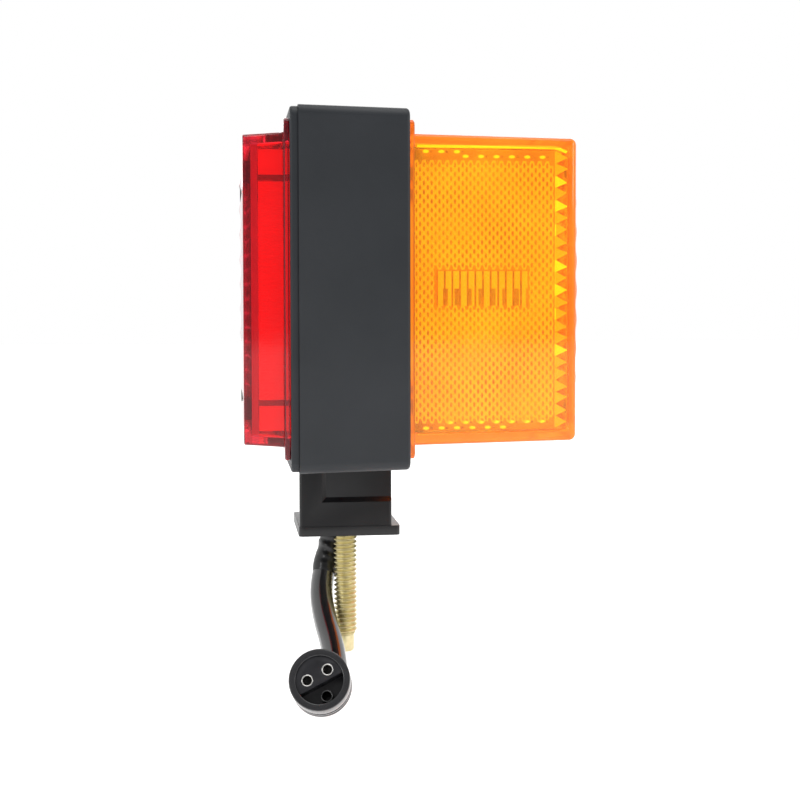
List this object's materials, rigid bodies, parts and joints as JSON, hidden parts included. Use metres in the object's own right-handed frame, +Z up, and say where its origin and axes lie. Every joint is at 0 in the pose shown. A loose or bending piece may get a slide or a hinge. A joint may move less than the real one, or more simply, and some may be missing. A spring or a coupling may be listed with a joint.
{
  "type": "pedestal turn signal lamp",
  "caption": "Square double-faced pedestal lamp with a red face, a deep amber face with a side reflector, a threaded stud and a cable with a round plug.",
  "frame": {"origin": "on the mounting stud's axis, at the underside of the base plate", "axes": "+Z up, -X towards the red face, +X towards the amber face, -Y towards the wall with the reflex panel"},
  "size_m": [0.0835, 0.1, 0.1507],
  "materials": {
    "housing_plastic": "matt, fine grain",
    "pedestal_plastic": "satin",
    "red_plastic": "clear red, glossy",
    "amber_plastic": "clear deep amber, glossy",
    "gasket_foam": "closed foam",
    "zinc_steel": "clear zinc",
    "yellow_zinc": "yellow zinc",
    "tinned_steel": "dull tin plate",
    "insulator": "pressed fibre",
    "spring_steel": "bright wire",
    "brass": "bright",
    "bulb_clear": "clear",
    "tungsten": "dull",
    "reflex_back": "glossy",
    "cable_vinyl": "satin",
    "sleeve_vinyl": "matt, wrinkled",
    "lead_green": "satin",
    "lead_brown": "satin",
    "lead_white": "satin",
    "plug_rubber": "moulded, satin",
    "plug_carrier": "satin",
    "terminal_metal": "bright tin plate"
  },
  "bodies": {
    "lamp": {"housing_body": "housing_plastic", "housing_frame": "housing_plastic", "red_lens": "red_plastic", "amber_lens": "amber_plastic", "red_lens_gasket": "gasket_foam", "amber_lens_gasket": "gasket_foam", "lens_screws": "zinc_steel", "reflex_backing_plate": "reflex_back", "pedestal_bracket": "pedestal_plastic", "pedestal_screws": "zinc_steel", "mounting_stud": "yellow_zinc", "socket_shell": "tinned_steel", "socket_base": "insulator", "socket_plate": "tinned_steel", "ground_tab": "tinned_steel", "socket_spring": "spring_steel", "contact_pigtails": "lead_brown", "turn_lead": "lead_green", "marker_lead": "lead_brown", "ground_lead": "lead_white", "cable_sleeve": "sleeve_vinyl", "cable_jacket": "cable_vinyl", "plug_body": "plug_rubber", "plug_insert": "plug_carrier", "plug_terminals": "terminal_metal"},
    "contact_disc": {"contact_disc": "insulator", "contact_buttons": "brass"},
    "bulb": {"bulb_cap": "brass", "bulb_insulator": "insulator", "bulb_contacts": "terminal_metal", "bulb_glass": "bulb_clear", "bulb_stem": "bulb_clear", "bulb_filaments": "tungsten"}
  },
  "joints": [
    {"name": "bulb_push", "type": "slide", "parent": "lamp", "child": "contact_disc", "axis": [0, 0, -1], "range_m": [0, 0.0025], "stiffness_N_per_m": 3000, "springref_m": -0.0015, "deforming": ["socket_spring", "contact_pigtails"]},
    {"name": "bulb_turn", "type": "hinge", "parent": "contact_disc", "child": "bulb", "pos_m": [0, 0, 0.0331], "axis": [0, 0, 1], "range_deg": [0, 20]}
  ]
}
